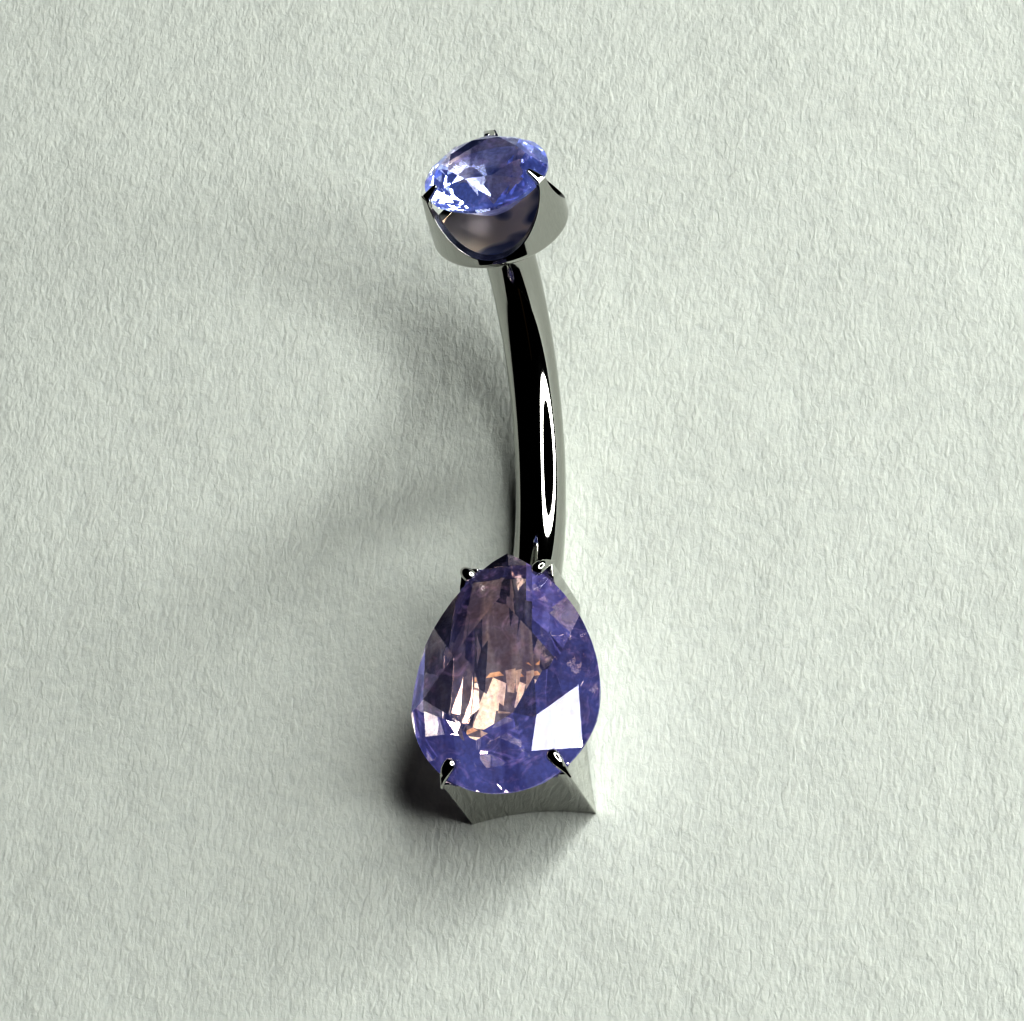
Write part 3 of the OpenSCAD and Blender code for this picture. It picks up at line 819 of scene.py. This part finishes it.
def stone_planes(w, l, crown, pavilion, top, bezel, depth, low_ring):
    """Rows (normal, distance) of every facet: table, crown mains, star facets wherever two mains
    leave room for one, half facets on both sides of the girdle, pavilion mains, the low ring and
    the girdle's small upright faces. A low facet leans by a share of the main facets' lean and
    cuts off a given height on the axis."""
    g = girdle_half

    def support(a):
        """Distance from the middle to the outline's edge that faces direction a."""
        return unit(a) @ outline_touch(w, l, a)

    def edge(k, a):
        """The same for a half facet, which starts at its main facet's place if half_drop allows."""
        return max(unit(k) @ outline_touch(w, l, a), support(k) - half_drop)

    rows = [(0, 0, 1, top)]
    steep = math.atan2(top - g, bezel)
    for a, b in zip(crown, crown[1:] + crown[:1]):
        rows.append((*(unit(a) * math.sin(steep)), math.cos(steep),
                     support(a) * math.sin(steep) + g * math.cos(steep)))
        inset, rise_to = bezel * (1 - star_share), g + (top - g) * (1 - star_share)
        meet = (*lines_meet(a, support(a) - inset, b, support(b) - inset), rise_to)
        c, d = (outline_touch(w, l, k) - bezel * unit(k) for k in (a, b))
        if c[0] * d[1] < c[1] * d[0]:
            u = math.degrees(math.atan2(c[0] - d[0], d[1] - c[1]))
            rows.append(leaning(u, unit(u) @ c, top, meet))
        m = halfway(a, b)
        rows += [leaning(k, edge(k, c), g, meet) for k, c in ((halfway(a, m), a), (halfway(m, b), b))]
    low = []
    for a, b in zip(pavilion, pavilion[1:] + pavilion[:1]):
        low.append(leaning(a, support(a), g, (0, 0, depth)))
        meet = (*(lines_meet(a, support(a), b, support(b)) * low_half_share),
                g + (depth - g) * (1 - low_half_share))
        m = halfway(a, b)
        low += [leaning(k, support(k), g, meet) for k in (halfway(a, m), halfway(m, b))]
    for u, share, cut in low_ring:
        e = math.atan((depth - g) / support(u)) * share
        low.append((*(unit(u) * math.sin(e)), math.cos(e), (depth - cut) * math.cos(e)))
    rows += [(x, y, -z, d) for x, y, z, d in low]
    right = np.concatenate([np.arange(-90, 0, 5), np.linspace(0, large_circle(w, l)[1], 22)])
    rows += [(*unit(k), 0, support(k)) for k in np.concatenate([right, 180 - right])]
    return np.array(rows, float)


pear_low = [(a, 0.62 + (i % 3) * 0.07, 0.36) for i, a in enumerate(range(-75, 285, 40))]
pear_planes = stone_planes(pear_w, pear_l, crown_dirs, pavilion_dirs, pear_crown, pear_bezel,
                           pear_pavilion, pear_low)
round_low = [(a, 0.65 + (i % 2) * 0.08, 0.25) for i, a in enumerate(range(-67, 293, 45))]
round_planes = stone_planes(round_d, round_d, round_dirs, round_dirs, round_crown, round_bezel,
                            round_pavilion, round_low)
print("planes:", len(pear_planes), "for the pear stone,", len(round_planes), "for the round stone")

# %% [markdown]
# The solid follows by plain algebra: every three planes meet in a point, and the points that no
# other plane cuts off are the stone's corners. Their convex hull is the stone. It gets no smooth
# shading, so its facets stay flat and its edges sharp.

# %% Solids below the planes
same_plane, same_corner, flat_angle = 1e-5, 0.004, math.radians(0.4)


def plane_corners(planes):
    """The points p = solve(N, d) of three planes at a time, kept if n.p <= d for all planes, and
    if they lie further than same_corner from each earlier one."""
    i, j, k = np.array(list(itertools.combinations(range(len(planes)), 3))).T
    na, nb, nc = planes[i, :3], planes[j, :3], planes[k, :3]
    bc = np.cross(nb, nc)
    det = np.einsum("ij,ij->i", na, bc)
    ok = np.abs(det) > same_plane
    i, j, k, na, nb, nc, bc, det = (v[ok] for v in (i, j, k, na, nb, nc, bc, det))
    p = (planes[i, 3:] * bc + planes[j, 3:] * np.cross(nc, na) + planes[k, 3:] * np.cross(na, nb))
    p /= det[:, None]
    inside = np.ones(len(p), bool)
    for row in planes:
        inside &= p @ row[:3] <= row[3] + same_plane
    p = np.unique(p[inside].round(4), axis=0)
    apart = np.linalg.norm(p[:, None] - p, axis=2) > same_corner
    return p[(apart | ~np.tri(len(p), k=-1, dtype=bool)).all(1)]


def cut_solid(name, planes, place):
    """The convex hull of the corners, with level triangles joined to whole facets."""
    mesh = bpy.data.meshes.new(name)
    mesh.from_pydata(plane_corners(planes).tolist(), [], [])
    bm = bmesh.new()
    bm.from_mesh(mesh)
    hull = bmesh.ops.convex_hull(bm, input=bm.verts)
    loose = [v for v in hull["geom_interior"] if isinstance(v, bmesh.types.BMVert)]
    bmesh.ops.delete(bm, geom=loose, context="VERTS")
    bmesh.ops.dissolve_limit(bm, angle_limit=flat_angle, verts=bm.verts, edges=bm.edges)
    bmesh.ops.recalc_face_normals(bm, faces=bm.faces)
    bm.to_mesh(mesh)
    bm.free()
    at = np.empty(len(mesh.vertices) * 3)
    mesh.vertices.foreach_get("co", at)
    mesh.vertices.foreach_set("co", place(at.reshape(-1, 3)).ravel())
    mesh.update()
    print(f"{name}: {len(mesh.vertices)} corners, {len(mesh.polygons)} facets")
    return add_piece(name, mesh)


def on_cup(p):
    """The round stone's girdle lies at the cup's seat."""
    return lay(on_bar_end(p + (0, 0, cup_seat_h)))


settle(cut_solid("pear_gem", pear_planes, lay), pear_glass, "pear_stone")
settle(cut_solid("round_gem", round_planes, on_cup), round_glass, "round_stone")

# %% [markdown]
# ## The paper
# The ring lies on pale grey-green laid paper. Short soft fibres, all brushed much the same way,
# catch the slanting light as bright flecks, and the sheet waves very slightly. Three sizes of
# noise give them: fine stretched fibres, softer grain and broad clouds.

# %% Floor
felt, fibre_tip = (0.565, 0.598, 0.566, 1), (0.748, 0.775, 0.709, 1)
fibre_turn, fibre_squeeze = math.radians(12), 0.42


def paper():
    """Fibres are noise on Object coordinates that are turned a little and squeezed one way; their
    height tilts the surface, and their colour is a little paler than the felt below."""
    m, t, shader = new_material("pale fibrous paper")
    shader.inputs["Roughness"].default_value = 0.85
    shader.inputs["Specular IOR Level"].default_value = 0.2
    place = t.nodes.new("ShaderNodeTexCoord").outputs["Object"]
    turn = t.nodes.new("ShaderNodeMapping")
    turn.inputs["Rotation"].default_value = (0, 0, fibre_turn)
    turn.inputs["Scale"].default_value = (1, fibre_squeeze, 1)
    link(t, place, turn.inputs["Vector"])

    def times_half(value, plus=None):
        """Half a value, plus another value where one is given."""
        n = t.nodes.new("ShaderNodeMath")
        n.operation = "MULTIPLY_ADD" if plus else "MULTIPLY"
        n.inputs[1].default_value = 0.5
        link(t, value, n.inputs[0])
        if plus:
            link(t, plus, n.inputs[2])
        return n.outputs["Value"]

    fibre = add_noise(t, turn.outputs["Vector"], 6500, 3, 0.6)
    grain, cloud = add_noise(t, place, 1500, 4), add_noise(t, place, 170, 2)
    shade = t.nodes.new("ShaderNodeMix")
    shade.data_type = "RGBA"
    shade.inputs["A"].default_value = felt
    shade.inputs["B"].default_value = fibre_tip
    link(t, times_half(fibre, times_half(grain)), shade.inputs["Factor"])
    link(t, shade.outputs["Result"], shader.inputs["Base Color"])
    tilt = None
    layers = ((fibre, 0.5, 0.00006), (grain, 0.35, 0.00012), (cloud, 0.25, 0.0006))
    for height, strength, distance in layers:
        tilt = add_bump(t, height, strength, distance, tilt)
    link(t, tilt, shader.inputs["Normal"])
    return m


floor_half = 0.4
mesh = bpy.data.meshes.new("floor")
square = [(x * floor_half, y * floor_half, 0) for x, y in ((-1, -1), (1, -1), (1, 1), (-1, 1))]
mesh.from_pydata(square, [], [(0, 1, 2, 3)])
floor = add_piece("floor", mesh)
mesh.materials.append(paper())
print("floor:", 2 * floor_half, "m wide")

# %% [markdown]
# ## The light
# A large ring lamp stands on the right, about 40 degrees up, and the room round it is dark. The
# ring shows as thin white lines on the bar and as the white facet of the pear stone, and it throws
# soft shadows to the left. A faint world light keeps the shadows open.

# %% Ring lamp and world
lamp_azimuth, lamp_elevation, lamp_distance, lamp_power = 99, 39, 0.3, 13.4
lamp_inner, lamp_outer, lamp_steps = 23.5, 33, 96
room_colour, room_light = (0.85, 0.95, 1.0, 1), 0.002


def toward(azimuth, elevation):
    """Unit vector from the ring: azimuth 0 is towards the camera's side, 90 is the right."""
    a, e = math.radians(azimuth), math.radians(elevation)
    return Vector((math.sin(a) * math.cos(e), -math.cos(a) * math.cos(e), math.sin(e)))


def ring_lamp():
    """A flat glowing ring that faces the jewel. Its named radii are angles seen from there, so a
    radius in metres is distance times the tangent."""
    u = full_turn(lamp_steps)
    r = lamp_distance * np.tan(np.radians([lamp_inner, lamp_outer]))
    p = np.stack([r[:, None] * np.cos(u), r[:, None] * np.sin(u), np.zeros((2, lamp_steps))], -1)
    back = toward(lamp_azimuth, lamp_elevation)
    turn = np.array(back.to_track_quat("-Z", "Y").to_matrix())
    p = (p @ turn.T + np.array(back * lamp_distance)).reshape(-1, 3)
    j = np.arange(lamp_steps)
    k = (j + 1) % lamp_steps
    mesh = bpy.data.meshes.new("ring_lamp")
    mesh.from_pydata(p.tolist(), [], np.stack([j, k, lamp_steps + k, lamp_steps + j], -1).tolist())
    mesh.materials.append(glowing("lamp glow", (1.0, 1.0, 1.0), lamp_power))
    lamp = add_piece("ring_lamp", mesh)
    lamp.visible_camera = False
    print("ring lamp:", [round(float(v), 3) for v in r], "m radii")


ring_lamp()
world = bpy.data.worlds.new("dim room")
bpy.context.scene.world = world
world.use_nodes = True
world.node_tree.nodes["Background"].inputs["Color"].default_value = room_colour
world.node_tree.nodes["Background"].inputs["Strength"].default_value = room_light

# %% [markdown]
# ## Cards round the ring
# A photographer sets small cards round a jewel to shape what it mirrors. Here a black card in
# front darkens the band along the bar, beside a dim warm strip. Real glass also gathers the lamp's
# light in bright patches on the paper below, which would take very many rays to find. Small
# glowing cards that only show through the stones take their place.

# %% Cards
paper_lift, patch_lift, black_lift = 0.0002, 0.0003, 0.0004
black_near, black_far, black_turns, strip_far = 0.016, 0.39, range(-42, 55, 6), 0.35


def card(name, corners, colour, through=False):
    """A flat card that is seen in reflections alone, or with through only through the stones: it
    lights nothing and shades nothing."""
    mesh = bpy.data.meshes.new(name)
    mesh.from_pydata(corners, [], [tuple(range(len(corners)))])
    mesh.materials.append(glowing(name, colour))
    piece = add_piece(name, mesh)
    piece.visible_camera = piece.visible_diffuse = piece.visible_shadow = False
    piece.visible_glossy = not through


def gathered(name, corners, colour, lift=patch_lift):
    """Light under the pear stone, seen only through it; corners (x, y) in tenths of a mm."""
    card(name, [(x / 10000, y / 10000, lift) for x, y in corners], colour, True)


# A dim glow stands for the paper lit through the stone: painted light.
gathered("painted glow of the paper under the stone", ((-22, -85), (22, -85), (22, -30), (-22, -30)),
         (0.44, 0.40, 0.375), paper_lift)
gathered("first bright patch", ((-11.5, -66), (-5, -68.5), (-4.2, -60), (-8.6, -57.5)), (1.9, 1.7, 1.4))
gathered("second bright patch", ((-3.8, -63), (-0.2, -64), (-1.0, -55), (-4.6, -55.5)), (1.1, 0.93, 0.76))
gathered("amber edge of the patch", ((-11, -57.6), (-5, -57.2), (-6.5, -55.6), (-9.5, -55.9)),
         (1.4, 0.98, 0.6))
gathered("third bright patch", ((2, -64), (11, -63), (10, -57.5), (3, -58)), (1.9, 1.7, 1.45))
gathered("fourth bright patch", ((8, -52), (60, -56), (60, -38), (9, -41)), (2.6, 2.9, 2.5))
far_edge = [toward(a, 0) * black_far for a in black_turns]
near_edge = [toward(a, 0) * black_near for a in reversed(black_turns)]
card("black card in front", [(v.x, v.y, black_lift) for v in far_edge + near_edge], (0.0, 0.0, 0.0))
strip = [tuple(toward(a, e) * strip_far) for a, e in ((13, -1), (19, -1), (24, 36), (21, 38))]
card("warm strip", strip, (0.045, 0.026, 0.012))

# %% [markdown]
# ## The camera
# The place and lens were worked out from the photo: the bar's known thickness and the corners of
# the basket and stones fix them. The camera is rolled a little, as a phone held by hand is. The
# picture is shown with plain colours and a gamma below 1, which deepens the shadows.

# %% Camera and tone
eye, target = Vector((0.036622, -0.079995, 0.128229)), Vector((-0.000331, -0.000346, 0.003))
heading, level_part, roll_part = 24.888, 0.893, 0.4495
lens_mm, sensor_mm, view_gamma = 169.37, 36, 0.606


def place_camera():
    """Looks from eye to target. Its up is a mix of the upright direction and the level one to the
    right, which is the roll; right, up and back are the columns of its matrix."""
    ahead = (target - eye).normalized()
    level = Vector((*unit(heading), 0))
    up = (level_part * level.cross(ahead) + roll_part * level).normalized()
    right = ahead.cross(up).normalized()
    up = right.cross(ahead)
    data = bpy.data.cameras.new("camera")
    data.lens, data.sensor_width = lens_mm, sensor_mm
    data.clip_start, data.clip_end = 0.001, 10
    camera = add_piece("camera", data)
    camera.matrix_world = Matrix(((right.x, up.x, -ahead.x, eye.x), (right.y, up.y, -ahead.y, eye.y),
                                  (right.z, up.z, -ahead.z, eye.z), (0, 0, 0, 1)))
    bpy.context.scene.camera = camera
    print("camera:", round((target - eye).length, 4), "m from the ring")


place_camera()
bpy.context.scene.view_settings.view_transform = "Standard"
bpy.context.scene.view_settings.gamma = view_gamma
